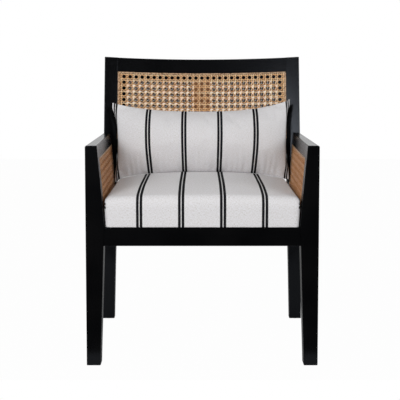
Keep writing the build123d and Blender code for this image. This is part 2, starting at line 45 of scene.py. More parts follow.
# Frame: tapered front legs, bent rear posts, seat rails, arms, back rails and cane ledges of hardwood.
# Tenoned and glued, then sprayed with black satin lacquer through which the grain shows as fine lines.
lacquer_black = (0.0014, 0.0014, 0.0016, 1)
lacquer_worn = (0.0032, 0.0031, 0.0032, 1)
# Painted reflection colour: the lacquer's reflections are tinted blue, standing in for bluish studio
# light.
painted_reflection_blue = (0.80, 0.87, 1.0, 1)
lacquer_roughness = (0.17, 0.24)
grain_lines, grain_draw = 420.0, 0.03
cloud_patches = 9.0


def material_start(name):
    """A new material, its node tree and its main shader."""
    material = bpy.data.materials.new(name)
    material.use_nodes = True
    return material, material.node_tree, material.node_tree.nodes["Principled BSDF"]


def add_node(tree, kind, **settings):
    """A node with its settings, and its unlinked sockets where the setting names one."""
    node = tree.nodes.new(kind)
    for key, value in settings.items():
        if key.startswith("in_"):
            node.inputs[key[3:].replace("_", " ")].default_value = value
        else:
            setattr(node, key, value)
    return node


def colour_ramp(tree, source, stops):
    """The colour that a value gets from a ramp."""
    ramp = add_node(tree, "ShaderNodeValToRGB")
    elements = ramp.color_ramp.elements
    while len(elements) < len(stops):
        elements.new(0.5)
    for element, (place, colour) in zip(elements, stops):
        element.position = place
        element.color = colour
    tree.links.new(source, ramp.inputs["Fac"])
    return ramp.outputs["Color"]


def stretched_noise(tree, stretch, scale, detail=4.0, coordinates=None):
    """Noise drawn out along one direction, in metres of the piece or over other coordinates."""
    if coordinates is None:
        coordinates = add_node(tree, "ShaderNodeTexCoord").outputs["Object"]
    mapping = add_node(tree, "ShaderNodeMapping", in_Scale=stretch)
    noise = add_node(tree, "ShaderNodeTexNoise", in_Scale=scale, in_Detail=detail)
    tree.links.new(coordinates, mapping.inputs["Vector"])
    tree.links.new(mapping.outputs["Vector"], noise.inputs["Vector"])
    return noise.outputs["Fac"]


def remapped(tree, source, reach=(0.0, 1.0), to=(0.0, 1.0), curve="LINEAR"):
    """A value moved from one reach to another."""
    spread = add_node(
        tree, "ShaderNodeMapRange", interpolation_type=curve,
        in_From_Min=reach[0], in_From_Max=reach[1], in_To_Min=to[0], in_To_Max=to[1],
    )
    tree.links.new(source, spread.inputs["Value"])
    return spread.outputs["Result"]


def roughen(tree, shader, source, strength, depth):
    """Fine relief in the surface, from a value and over a depth in metres."""
    bump = add_node(tree, "ShaderNodeBump", in_Strength=strength, in_Distance=depth)
    tree.links.new(source, bump.inputs["Height"])
    tree.links.new(bump.outputs["Normal"], shader.inputs["Normal"])


def lacquered(name, stretch):
    """Black satin lacquer over a grain that runs along the long way of the pieces."""
    material, tree, shader = material_start(name)
    grain = stretched_noise(tree, stretch, grain_lines)
    cloud = stretched_noise(tree, (1, 1, 1), cloud_patches, detail=2.0)
    tone = colour_ramp(tree, cloud, [(0.35, lacquer_black), (0.72, lacquer_worn)])
    tree.links.new(tone, shader.inputs["Base Color"])
    tree.links.new(remapped(tree, grain, to=lacquer_roughness), shader.inputs["Roughness"])
    roughen(tree, shader, grain, strength=0.06, depth=0.0003)
    shader.inputs["Specular IOR Level"].default_value = 0.42
    # Painted reflection colour: a blue tint on the lacquer's reflections.
    shader.inputs["Specular Tint"].default_value = painted_reflection_blue
    return material


def finish_nodes(names, material):
    """CAD pieces keep their shape and get this material."""
    for name in names:
        nodes[name].material_slots[0].material = material


upright_lacquer = lacquered("lacquer_upright", (1, 1, grain_draw))
finish_nodes(["front_leg_left", "front_leg_right"], upright_lacquer)
finish_nodes(["rear_post_left", "rear_post_right"], upright_lacquer)
finish_nodes(["back_ledge_left", "back_ledge_right"], upright_lacquer)
cross_lacquer = lacquered("lacquer_cross", (grain_draw, 1, 1))
finish_nodes(["front_seat_rail", "rear_seat_rail", "crest_rail", "lower_back_rail"], cross_lacquer)
finish_nodes(["back_ledge_top", "back_ledge_bottom"], cross_lacquer)
side_lacquer = lacquered("lacquer_side", (1, grain_draw, 1))
finish_nodes(["side_seat_rail_left", "side_seat_rail_right"], side_lacquer)
finish_nodes(["arm_rail_left", "arm_rail_right"], side_lacquer)

# Batten and corner blocks: bare wood. The batten stands between the two sheets of cane behind the
# middle of the back. The blocks are three-cornered, glued into the seat frame and hidden under the pad.
wood_lines, wood_detail, wood_roughness, wood_relief = 150.0, 6.0, 0.62, 0.0004


def grained(name, stretch, lines, detail, stops, roughness, relief=0.0):
    """A dull surface whose colour follows drawn-out noise, and its relief too where it has any."""
    material, tree, shader = material_start(name)
    noise = stretched_noise(tree, stretch, lines, detail)
    tree.links.new(colour_ramp(tree, noise, stops), shader.inputs["Base Color"])
    if relief > 0:
        roughen(tree, shader, noise, strength=0.2, depth=relief)
    shader.inputs["Roughness"].default_value = roughness
    return material


batten_wood = grained(
    "batten_wood", (1, 1, 0.05), wood_lines, wood_detail,
    [(0.32, (0.10, 0.032, 0.008, 1)), (0.68, (0.26, 0.10, 0.03, 1))], wood_roughness, wood_relief,
)
finish_nodes(["back_centre_batten"], batten_wood)
block_wood = grained(
    "block_wood", (0.06, 1, 1), wood_lines, wood_detail,
    [(0.32, (0.36, 0.23, 0.12, 1)), (0.68, (0.52, 0.36, 0.20, 1))], wood_roughness, wood_relief,
)
for corner in ("front_left", "front_right", "rear_left", "rear_right"):
    finish_nodes(["corner_block_" + corner], block_wood)

# Cane webbing of the back: two sheets woven of split rattan skin, pressed into a groove on the front
# and on the rear of the opening. Upright pairs and level pairs cross, and two sets of slanting strands
# run over the one and under the other, which leaves eight-sided holes.
cane_across = 0.01915
cane_up = 0.0188
pair_spread = 0.0025
strand_width = 0.0023
strand_thickness = 0.0009
strand_lift = 0.0013
strand_weld = 0.00005
straight_cuts, slanting_cuts = 6, 8


def apply_modifier(piece, label, kind, **settings):
    """Shapes the active piece with a modifier and makes the outcome its mesh."""
    modifier = piece.modifiers.new(label, kind)
    for key, value in settings.items():
        setattr(modifier, key, value)
    bpy.ops.object.modifier_apply(modifier=label)


def points_of(mesh):
    """The points of a mesh, one in each row."""
    places = np.zeros(len(mesh.vertices) * 3)
    mesh.vertices.foreach_get("co", places)
    return places.reshape(-1, 3)


def move_points(mesh, places):
    """Puts the points of a mesh at other places."""
    mesh.vertices.foreach_set("co", places.astype(np.float32).ravel())
    mesh.update()


def corners_of(mesh):
    """Which point lies at each corner of the faces."""
    corners = np.zeros(len(mesh.loops), dtype=np.int32)
    mesh.loops.foreach_get("vertex_index", corners)
    return corners


def cane_strands(name, run, across, lift, first, repeats, lines, width):
    """Strands of one direction: a ribbon one repeat long is bent, then arrayed along and across."""
    length = math.hypot(*run)
    segments = straight_cuts if min(abs(run[0]), abs(run[1])) < 1e-9 else slanting_cuts
    bpy.ops.mesh.primitive_grid_add(x_subdivisions=1, y_subdivisions=segments, size=1)
    strand = bpy.context.object
    strand.name = name
    ahead = (run[0] / length, run[1] / length)
    for vertex in strand.data.vertices:
        share = vertex.co.y + 0.5
        side = vertex.co.x * width
        vertex.co = (
            first[0] + run[0] * share + ahead[1] * side,
            first[1] + run[1] * share - ahead[0] * side,
            strand_lift * lift(share),
        )
    for label, step, count in (("along", run, repeats), ("across", across, lines)):
        apply_modifier(
            strand, label, "ARRAY", use_relative_offset=False, use_constant_offset=True,
            constant_offset_displace=(step[0], step[1], 0), count=count,
            use_merge_vertices=label == "along", merge_threshold=strand_weld,
        )
    return strand


def strand_marks(strand, family, number, along, offset, width):
    """Keeps for the material where each strand lies, and a tone from a hash of its number."""
    mesh = strand.data
    places = points_of(mesh)
    line = np.round(number(places))
    tone = np.abs(np.sin(line * 12.9898 + family * 78.233) * 43758.5453) % 1.0
    # strand_height and strand_edge feed painted light and shade in the material: high places drawn
    # lighter, low places and edges drawn darker.
    for label, values in (
        ("strand_tone", tone),
        ("strand_height", places[:, 2] / strand_lift),
        ("strand_edge", offset(places, line) * 2 / width),
    ):
        mark = mesh.attributes.new(label, "FLOAT", "POINT")
        mark.data.foreach_set("value", values.astype(np.float32))
    fibre = np.stack([offset(places, line) + 0.05 * line + family, along(places)], axis=1)
    mesh.uv_layers[0].name = "fibre"
    mesh.uv_layers[0].data.foreach_set("uv", fibre[corners_of(mesh)].astype(np.float32).ravel())


def woven_sheet(name, low, high, cuts, width=strand_width):
    """A flat sheet of cane between two corners, with a hole on the middle, cut off at its edges."""
    bpy.ops.object.select_all(action="DESELECT")
    px, py = cane_across, cane_up
    left = math.floor(low[0] / px) - 1
    right = math.ceil(high[0] / px) + 1
    under = math.floor(low[1] / py) - 1
    over = math.ceil(high[1] / py) + 1
    columns, rows = right - left, over - under
    slope = px / py
    steep = math.sqrt(1 + slope ** 2)
    parts = []
    for side in (-1, 1):
        middle = (left + 0.5) * px + side * pair_spread
        part = cane_strands(
            "upright_strands", (0, py), (px, 0),
            lambda s, d=side: d * (1 - math.cos(2 * math.pi * s)) / 2,
            (middle, under * py), rows, columns, width,
        )
        strand_marks(
            part, 1 + side, lambda p, m=middle: (p[:, 0] - m) / px, lambda p: p[:, 1],
            lambda p, n, m=middle: p[:, 0] - m - n * px, width,
        )
        parts.append(part)
        middle = (under + 0.5) * py + side * pair_spread
        part = cane_strands(
            "level_strands", (px, 0), (0, py), lambda s: 0.0, (left * px, middle), columns, rows, width
        )
        strand_marks(
            part, 4 + side, lambda p, m=middle: (p[:, 1] - m) / py, lambda p: p[:, 0],
            lambda p, n, m=middle: p[:, 1] - m - n * py, width,
        )
        parts.append(part)
        start = (left - rows + 0.5) * px if side > 0 else (left + 0.5) * px
        part = cane_strands(
            "slanting_strands", (side * px, py), (px, 0),
            lambda s, d=side: -d * math.cos(2 * math.pi * s),
            (start, under * py), rows, columns + rows, width,
        )
        strand_marks(
            part, 7 + side, lambda p, d=side: (p[:, 0] - d * slope * (p[:, 1] - under * py)) / px,
            lambda p: p[:, 1] * steep,
            lambda p, n, d=side: (p[:, 0] - d * slope * (p[:, 1] - under * py) - n * px) / steep,
            width,
        )
        parts.append(part)
    bpy.ops.object.select_all(action="DESELECT")
    for part in parts:
        part.select_set(True)
    bpy.context.view_layer.objects.active = parts[0]
    bpy.ops.object.join()
    sheet = parts[0]
    sheet.name = name
    bpy.ops.object.mode_set(mode="EDIT")
    for point, outward in cuts:
        bpy.ops.mesh.select_all(action="SELECT")
        bpy.ops.mesh.bisect(
            plane_co=(point[0], point[1], 0), plane_no=(outward[0], outward[1], 0), clear_outer=True
        )
    bpy.ops.object.mode_set(mode="OBJECT")
    apply_modifier(sheet, "skin", "SOLIDIFY", thickness=strand_thickness, offset=0)
    bpy.ops.object.shade_smooth()
    return sheet


def lay_sheet(sheet, place):
    """Lays a flat sheet where it belongs: place gives points of the chair for across, up and out."""
    flat = points_of(sheet.data)
    move_points(sheet.data, np.stack(place(flat[:, 0], flat[:, 1], flat[:, 2]), axis=1))


def maths(tree, operation, *values):
    """The outcome of a sum, whose values are numbers or come from other nodes."""
    node = add_node(tree, "ShaderNodeMath", operation=operation)
    for place, value in enumerate(values):
        if isinstance(value, float):
            node.inputs[place].default_value = value
        else:
            tree.links.new(value, node.inputs[place])
    return node.outputs["Value"]


def colour_mix(tree, share, first, second):
    """A colour between two, of which each is a colour or comes from another node."""
    mix = add_node(tree, "ShaderNodeMix", data_type="RGBA")
    tree.links.new(share, mix.inputs["Factor"])
    for place, value in ((6, first), (7, second)):
        if isinstance(value, tuple):
            mix.inputs[place].default_value = value
        else:
            tree.links.new(value, mix.inputs[place])
    return mix.outputs[2]


def cane_skin(name, pale, middle, dark):
    """Rattan skin: long fibres, a tone for each strand and the soft shine of its surface, with painted
    shade on the strands' edges and low places and painted light on their high places.
    """
    material, tree, shader = material_start(name)
    fibre = add_node(tree, "ShaderNodeUVMap", uv_map="fibre").outputs["UV"]
    own, height, edge = (
        add_node(tree, "ShaderNodeAttribute", attribute_name=label).outputs["Fac"]
        for label in ("strand_tone", "strand_height", "strand_edge")
    )
    streak = stretched_noise(tree, (2400, 90, 1), 1.0, 3.0, fibre)
    patch = stretched_noise(tree, (60, 28, 1), 1.0, 2.0, fibre)
    mixed = maths(tree, "MULTIPLY", patch, 0.62)
    # Painted light and shade: the strand's height lightens its high places and darkens its low places.
    for source, weight in ((own, 0.30), (streak, 0.26), (height, 0.17)):
        mixed = maths(tree, "MULTIPLY_ADD", source, weight, mixed)
    tone = colour_ramp(tree, mixed, [(0.36, dark), (0.57, middle), (0.76, pale)])
    # Painted shade: the colour darkens towards each strand's edges.
    rim = remapped(tree, maths(tree, "ABSOLUTE", edge), (0.70, 1.0), (0.0, 0.75))
    tree.links.new(colour_mix(tree, rim, tone, dark), shader.inputs["Base Color"])
    roughen(tree, shader, streak, strength=0.25, depth=0.0002)
    shader.inputs["Roughness"].default_value = 0.30
    shader.inputs["Specular IOR Level"].default_value = 0.45
    return material


back_cane = cane_skin("back_cane", (1.0, 0.84, 0.56, 1), (1.0, 0.60, 0.285, 1), (0.36, 0.125, 0.03, 1))
# A near-black copy of the cane for the faces turned into the hollow between the two sheets: painted
# shade.
hollow_shade_cane = cane_skin(
    "hollow_shade_cane", (0.22, 0.13, 0.07, 1), (0.10, 0.05, 0.024, 1), (0.03, 0.012, 0.005, 1)
)
rake = math.radians(15)
back_foot = (0.11803, 0.325)
back_radius = 1.51756
back_sagitta = 0.032
back_half = 0.2685
back_low, back_high = 0.26813, 0.48613
back_middle, back_reach = (back_low + back_high) / 2, (back_high - back_low) / 2
front_depth, rear_depth = 0.0036, 0.0264
rear_across, rear_up, rear_strand = 0.0110, 0.0055, 0.0034
hollow_facing = 0.3


def back_curve(across, depth):
    """How far the back lies behind the line between its edges, at a depth behind its front face."""
    return back_sagitta - back_radius + np.sqrt((back_radius + depth) ** 2 - across ** 2)


def on_slope(across, behind, up):
    """A point of the chair: across, behind the line between the back's edges, and up its slope."""
    return (
        across,
        back_foot[0] + behind * math.cos(rake) + up * math.sin(rake),
        back_foot[1] - behind * math.sin(rake) + up * math.cos(rake),
    )


def on_back(across, depth, up):
    """A point of the back: across from its middle, behind its curved front face, and up its slope."""
    return on_slope(across, back_curve(across, depth), up)


for face, depth, toward, shift_a, shift_u, width in (
    ("front", front_depth, 1, 0.0, 0.0, strand_width),
    ("rear", rear_depth, -1, rear_across, rear_up, rear_strand),
):
    sheet = woven_sheet(
        "woven_back_" + face,
        (shift_a - back_half, shift_u - back_reach),
        (shift_a + back_half, shift_u + back_reach),
        [
            ((shift_a - back_half, 0), (-1, 0)),
            ((shift_a + back_half, 0), (1, 0)),
            ((0, shift_u - back_reach), (0, -1)),
            ((0, shift_u + back_reach), (0, 1)),
        ],
        width,
    )
    lay_sheet(
        sheet,
        lambda a, u, w: on_back(toward * (a - shift_a), depth - toward * w, back_middle + u - shift_u),
    )
    sheet.data.materials.clear()
    sheet.data.materials.append(back_cane)
    sheet.data.materials.append(hollow_shade_cane)
    # Faces turned into the hollow between the sheets take the near-black copy: painted shade.
    for polygon in sheet.data.polygons:
        polygon.material_index = 1 if toward * polygon.normal.y > hollow_facing else 0
    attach(sheet, "chair_frame")
    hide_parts("back_cane_" + face)

# Cane webbing of the sides: the same weave on the inner and on the outer face of each arm panel,
# set into the arm rail above, the leg in front, the post behind and the seat rail below.
# A darker, more orange copy of the back's cane: painted shade on the arm panels.
side_cane_shaded = cane_skin("side_cane_shaded", (1.0, 0.63, 0.35, 1), (0.78, 0.42, 0.20, 1), (0.36, 0.14, 0.05, 1))
side_strand = 0.0027
outer_place = 0.3064
inner_face = (0.2785, -0.26897, 0.601)
inner_along, inner_up = 0.0195, 0.0821
inner_depth = 0.0034
corner_reach = 0.002


def side_surface(layer, along, up):
    """How far out a side panel lies at a place along and up the chair."""
    if layer == "outer":
        return np.full_like(along, outer_place)
    level = inner_face[0] + inner_along * (along - inner_face[1]) + inner_up * (up - inner_face[2])
    return level + inner_depth


for layer in ("inner", "outer"):
    for side, hand in ((-1, "left"), (1, "right")):
        node = "arm_cane_" + layer + "_" + hand
        rim = points_of(nodes[node].data)
        low_z, high_z, front_y = rim[:, 2].min(), rim[:, 2].max(), rim[:, 1].min()
        rear_high = rim[rim[:, 2] > high_z - corner_reach][:, 1].max()
        rear_low = rim[rim[:, 2] < low_z + corner_reach][:, 1].max()
        middle_y, middle_z = (front_y + rear_high) / 2, (low_z + high_z) / 2
        facing = side if layer == "outer" else -side
        reach_y, reach_z = (rear_high - front_y) / 2, (high_z - low_z) / 2
        lean = (rear_high - rear_low) / (high_z - low_z)
        cuts = [
            ((0, -reach_z), (0, -1)),
            ((0, reach_z), (0, 1)),
            ((-facing * reach_y, 0), (-facing, 0)),
            ((facing * reach_y, reach_z), (facing, -lean)),
        ]
        sheet = woven_sheet(
            "woven_side_" + layer + "_" + hand,
            (-reach_y, -reach_z), (reach_y, reach_z), cuts, side_strand,
        )
        lay_sheet(
            sheet,
            lambda a, u, w: (
                side * side_surface(layer, middle_y + facing * a, middle_z + u) + facing * w,
                middle_y + facing * a,
                middle_z + u,
            ),
        )
        sheet.data.materials.clear()
        sheet.data.materials.append(side_cane_shaded)
        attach(sheet, "chair_frame")
        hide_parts(node)

# Splines: thin split reed, soaked, glued and tapped into the groove round each opening.
# They wedge the edge of the cane, and the ends of its strands leave dark specks along them.
spline_reed = grained(
    "reed_spline", (1, 1, 1), lines=310.0, detail=2.0, roughness=0.5, relief=0.0003,
    stops=[
        (0.38, (0.10, 0.045, 0.018, 1)),
        (0.50, (0.56, 0.34, 0.19, 1)),
        (0.7, (0.72, 0.50, 0.32, 1)),
    ],
)
finish_nodes(["back_spline_front", "back_spline_rear"], spline_reed)
for hand in ("left", "right"):
    finish_nodes(["arm_spline_inner_" + hand, "arm_spline_outer_" + hand], spline_reed)

# Seat board and its screws: a plywood board under the pad, which the cover is tacked to from below.
# Four zinc-plated steel screws hold it down on the corner blocks, so that the seat can be taken off.
plywood = grained(
    "seat_plywood", (0.08, 1, 1), lines=120.0, detail=6.0, roughness=0.7,
    stops=[(0.3, (0.40, 0.27, 0.15, 1)), (0.7, (0.60, 0.44, 0.27, 1))],
)
finish_nodes(["seat_board"], plywood)
screw_zinc, tree, shader = material_start("zinc_screw")
scratch = stretched_noise(tree, (1, 1, 1), 900.0, detail=3.0)
tree.links.new(remapped(tree, scratch, to=(0.28, 0.46)), shader.inputs["Roughness"])
shader.inputs["Base Color"].default_value = (0.55, 0.54, 0.50, 1)
shader.inputs["Metallic"].default_value = 1.0
finish_nodes(["seat_board_screws"], screw_zinc)

# Seat pad: foam under a tight cover of striped linen, drawn over the edges and tacked under the board.
# Its stripes run from front to rear, and the outer pair turns over the shoulders on to the sides.
seat_low_corner, seat_high_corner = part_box("seat_cover")
seat_half = seat_high_corner.x
seat_front, seat_rear = seat_low_corner.y, seat_high_corner.y
seat_base = seat_low_corner.z
seat_edge_height, crown_ease = 0.080, 0.0035
seat_shoulder = seat_base + seat_edge_height
seat_crown = seat_high_corner.z - seat_shoulder - crown_ease
crown_fall = 2.8
front_fall, front_share = 0.90, 0.42
seat_flare = 0.004
shoulder_round, front_round, rear_round, corner_round = 0.015, 0.025, 0.020, 0.014
seat_tuck = 0.010
seat_mesh_size = 0.006
level_within = 0.01
cloth_stretch = 1.015
stripe_pitch = 0.110
stripe_outer, stripe_inner = 0.0083, 0.0011
stripe_blur, stripe_waver = 0.0003, 0.0007
slub_share = 0.32


def striped_linen(name):
    """Off-white slubby linen with pairs of black stripes, laid by the cloth's own flat measures."""
    material, tree, shader = material_start(name)
    flat = add_node(tree, "ShaderNodeUVMap", uv_map="cloth")
    parts = add_node(tree, "ShaderNodeSeparateXYZ")
    tree.links.new(flat.outputs["UV"], parts.inputs["Vector"])
    cloth = add_node(tree, "ShaderNodeTexCoord").outputs["UV"]
    waver = stretched_noise(tree, (30, 400, 1), 1.0, 2.0, cloth)
    shift = maths(tree, "MULTIPLY_ADD", waver, stripe_waver, parts.outputs["X"])
    wrap = maths(tree, "FLOORED_MODULO", shift, stripe_pitch)
    away = maths(tree, "ABSOLUTE", maths(tree, "SUBTRACT", wrap, stripe_pitch / 2))
    inside = remapped(tree, away, (stripe_outer + stripe_blur, stripe_outer - stripe_blur))
    gap = remapped(tree, away, (stripe_inner - stripe_blur, stripe_inner + stripe_blur))
    band = maths(tree, "MULTIPLY", inside, gap)
    warp = stretched_noise(tree, (1700, 170, 1), 1.0, 3.0, cloth)
    weft = stretched_noise(tree, (150, 1500, 1), 1.0, 3.0, cloth)
    both = maths(tree, "ADD", warp, weft)
    slub = stretched_noise(tree, (330, 330, 1), 1.0, 2.0, cloth)
    yarn = maths(tree, "MULTIPLY_ADD", both, 0.5, maths(tree, "MULTIPLY", slub, slub_share))
    pale = colour_ramp(tree, yarn, [(0.49, (0.565, 0.532, 0.500, 1)), (0.71, (0.784, 0.778, 0.803, 1))])
    dyed = colour_ramp(tree, both, [(0.75, (0.004, 0.004, 0.005, 1)), (1.0, (0.014, 0.014, 0.016, 1))])
    tree.links.new(colour_mix(tree, band, pale, dyed), shader.inputs["Base Color"])
    roughen(tree, shader, both, strength=0.35, depth=0.0005)
    shader.inputs["Roughness"].default_value = 0.85
    for socket, undyed, dull in (("Specular IOR Level", 0.2, 0.04), ("Sheen Weight", 0.15, 0.0)):
        tree.links.new(remapped(tree, band, to=(undyed, dull)), shader.inputs[socket])
    shader.inputs["Sheen Roughness"].default_value = 0.5
    return material


linen = striped_linen("striped_linen")
bpy.ops.object.select_all(action="DESELECT")
bpy.ops.mesh.primitive_cube_add(size=1)
seat = bpy.context.object
seat.name = "seat_pad"
for vertex in seat.data.vertices:
    vertex.co = (
        2 * (seat_half - (seat_flare if vertex.co.z < 0 else 0)) * vertex.co.x,
        (seat_front + seat_rear) / 2 + (seat_rear - seat_front) * vertex.co.y,
        seat_shoulder if vertex.co.z > 0 else seat_base - seat_tuck,
    )
weights = seat.data.attributes.new("bevel_weight_edge", "FLOAT", "EDGE")
for edge in seat.data.edges:
    a, b = (seat.data.vertices[i].co for i in edge.vertices)
    middle = (a + b) / 2
    if abs(a.z - b.z) > level_within:
        weights.data[edge.index].value = corner_round
    elif middle.z > seat_base:
        if abs(a.y - b.y) > level_within:
            weights.data[edge.index].value = shoulder_round
        else:
            weights.data[edge.index].value = front_round if middle.y < 0 else rear_round
apply_modifier(
    seat, "rounding", "BEVEL", limit_method="WEIGHT", width=1.0, segments=8, use_clamp_overlap=False
)
apply_modifier(seat, "grid", "REMESH", mode="VOXEL", voxel_size=seat_mesh_size)
apply_modifier(seat, "calm", "SMOOTH", factor=0.5, iterations=2)


def ease(value):
    """A smooth step from nought to one."""
    value = np.clip(value, 0, 1)
    return value * value * (3 - 2 * value)


places = points_of(seat.data)
places[:, 2] = np.maximum(places[:, 2], seat_base)
across = np.clip(1 - np.abs(places[:, 0] / (seat_half - shoulder_round)) ** crown_fall, 0, 1)
length_share = (places[:, 1] - seat_front) / (seat_rear - seat_front)
along = 1 - front_fall * np.clip(1 - length_share / front_share, 0, 1) ** 2
raised = ease((places[:, 2] - seat_base) / (seat_shoulder - seat_base))
places[:, 2] += seat_crown * across * along * raised
move_points(seat.data, places)
apply_modifier(seat, "finer", "SUBSURF", levels=1, render_levels=1)
bpy.ops.object.shade_smooth()
mesh = seat.data
places = points_of(mesh)
corners = corners_of(mesh)
turn = shoulder_round * math.pi / 2
flat_half = seat_half - shoulder_round
beyond = np.clip(np.abs(places[:, 0]) - flat_half, 0, None)
below = np.clip(seat_shoulder - places[:, 2], 0, None)
over_shoulder = np.arctan2(beyond, np.clip(shoulder_round - below, 1e-6, None)) * shoulder_round
down_side = turn + np.clip(below - shoulder_round, 0, None)
wrapped = np.where(below > shoulder_round, down_side, np.minimum(over_shoulder, turn))
from_middle = np.minimum(np.abs(places[:, 0]), flat_half) + np.where(beyond > 0, wrapped, 0)
on_top = np.stack([np.sign(places[:, 0]) * from_middle, places[:, 1]], axis=1)
on_front = np.stack([places[:, 0], places[:, 1] - below], axis=1)
facing = np.zeros(len(mesh.polygons) * 3)
mesh.polygons.foreach_get("normal", facing)
facing = facing.reshape(-1, 3)
sizes = np.zeros(len(mesh.polygons), dtype=np.int32)
mesh.polygons.foreach_get("loop_total", sizes)
frontal = np.repeat((-facing[:, 1] > np.abs(facing[:, 0])) & (-facing[:, 1] > facing[:, 2]), sizes)
flat = np.where(frontal[:, None], on_front[corners], on_top[corners]) * (1 / cloth_stretch, 1)
cloth = mesh.uv_layers.new(name="cloth")
cloth.data.foreach_set("uv", flat.astype(np.float32).ravel())
mesh.materials.clear()
mesh.materials.append(linen)
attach(seat, "chair_frame")
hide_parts("seat_cover", "seat_foam")

# Dust cover: a sheet of thin black non-woven cloth that closes the seat frame from below.
# It is cut with a notch for each leg and post, drawn tight, and stapled under the four seat rails,
# so that only its middle hangs a little.
dust_thickness, dust_sag, dust_hang = 0.0008, 0.004, 0.25
edge_reach = 0.001
dust_low, dust_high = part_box("dust_cover")
rim = points_of(nodes["dust_cover"].data)
dust_neck = np.abs(rim[rim[:, 1] < dust_low.y + edge_reach][:, 0]).max()
dust_tail = np.abs(rim[rim[:, 1] > dust_high.y - edge_reach][:, 0]).max()
widest = rim[np.abs(rim[:, 0]) > dust_high.x - edge_reach][:, 1]
bpy.ops.object.select_all(action="DESELECT")
bpy.ops.mesh.primitive_plane_add(size=1)
dust = bpy.context.object
dust.name = "stapled_dust_cover"
for vertex in dust.data.vertices:
    vertex.co = (
        2 * dust_high.x * vertex.co.x,
        (dust_low.y + dust_high.y) / 2 + (dust_high.y - dust_low.y) * vertex.co.y,
        dust_high.z - dust_thickness / 2,
    )
bpy.ops.object.mode_set(mode="EDIT")
for across, along in ((dust_neck, widest.min()), (dust_tail, widest.max())):
    notch = (((across, 0, 0), (1, 0, 0)), ((-across, 0, 0), (1, 0, 0)), ((0, along, 0), (0, 1, 0)))
    for point, outward in notch:
        bpy.ops.mesh.select_all(action="SELECT")
        bpy.ops.mesh.bisect(plane_co=point, plane_no=outward)
bpy.ops.mesh.select_mode(type="FACE")
bpy.ops.mesh.select_all(action="DESELECT")
bpy.ops.object.mode_set(mode="OBJECT")
for polygon in dust.data.polygons:
    in_front = polygon.center.y < widest.min() and abs(polygon.center.x) > dust_neck
    behind = polygon.center.y > widest.max() and abs(polygon.center.x) > dust_tail
    polygon.select = in_front or behind
bpy.ops.object.mode_set(mode="EDIT")
bpy.ops.mesh.delete(type="FACE")
bpy.ops.mesh.select_all(action="SELECT")
bpy.ops.mesh.subdivide(number_cuts=5)
bpy.ops.object.mode_set(mode="OBJECT")
for vertex in dust.data.vertices:
    share = (vertex.co.y - dust_low.y) / (dust_high.y - dust_low.y)
    hang = max(0.0, 1 - (vertex.co.x / dust_hang) ** 2) * max(0.0, math.sin(math.pi * share))
    vertex.co.z -= dust_sag * hang
apply_modifier(dust, "body", "SOLIDIFY", thickness=dust_thickness, offset=0)
bpy.ops.object.shade_smooth()
dust_cloth = grained(
    "dust_cloth", (1, 1, 1), lines=700.0, detail=5.0, roughness=0.95,
    stops=[(0.3, (0.010, 0.010, 0.011, 1)), (0.7, (0.030, 0.030, 0.032, 1))],
)
dust.data.materials.clear()
dust.data.materials.append(dust_cloth)
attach(dust, "chair_frame")
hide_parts("dust_cover")

# Foot glides: a thin disc of moulded dark nylon, fixed under the foot of each leg and post.
# They keep the end grain off the floor and are all alike.
glide_nylon = grained(
    "glide_nylon", (1, 1, 1), lines=500.0, detail=4.0, roughness=0.55,
    stops=[(0.3, (0.030, 0.028, 0.027, 1)), (0.7, (0.055, 0.052, 0.050, 1))],
)
finish_nodes(["foot_glides"], glide_nylon)

# Lumbar pillow: two panels of the seat's linen sewn edge to edge round a filling, loose on the chair.
# It stands on the seat and leans on the back, and its seams draw in between its four corners.
# The seam is laid first, then the panels are blown up inside it with a little cloth to spare.
cloth_half, cloth_rise = 0.287, 0.132
edge_from, edge_curve, edge_stretch = 0.8, 1.5, 0.039
seam_setback, seam_width = 0.032, 0.0016
front_fullness, rear_fullness = 0.066, 0.054
across_fall, across_round, up_fall, up_round = 2.7, 0.82, 2.2, 0.75
top_middle, top_left, top_right, top_curve = 0.668, 0.028, 0.039, 2.6
low_left, low_right, low_from = 0.452, 0.461, 0.240
corner_left, corner_right, low_reach = 0.281, 0.275, 0.2695
waist_left, waist_right = 0.2575, 0.257
waist_place, waist_half, waist_curve = 0.05, 0.8, 1.7
panel_half, low_draw, side_roll, roll_edge = 0.288, 0.011, 0.012, 14
corner_across, corner_up, corner_flat, corner_ease = 0.30, 0.22, 0.30, 0.75
gather_depth, gather_reach, gather_hem = 0.0050, 0.2, 0.03
gather_waves, gather_bend, gather_uneven = 71, 3, 17
seat_rim, seam_clear, back_clear, seat_clear = 0.001, 0.0005, 0.001, 0.0003
pillow_cap, puff_frames = 0.016, 30


def seat_height(across):
    """Height of the seat's crowned top at a place across it."""
    across = np.minimum(np.abs(across), seat_half - seat_rim)
    crown = seat_shoulder + seat_crown * np.clip(1 - (across / flat_half) ** crown_fall, 0, 1)
    drop = shoulder_round - np.sqrt(shoulder_round ** 2 - np.clip(across - flat_half, 0, None) ** 2)
    return crown - drop


def along_slope(height):
    """Where the seam plane of the pillow has a height, measured up the slope of the back."""
    return (height - back_foot[1] - seam_setback * math.sin(rake)) / math.cos(rake)


def side_reach(hand, up):
    """How far out the side seams lie between the lower and the upper corners."""
    waist_reach = np.where(hand < 0, waist_left, waist_right)
    away = np.clip(np.abs(up - waist_place) / waist_half, 0, 1) ** waist_curve
    corner = np.where(up > 0, np.where(hand < 0, corner_left, corner_right), low_reach)
    return waist_reach + (corner - waist_reach) * away


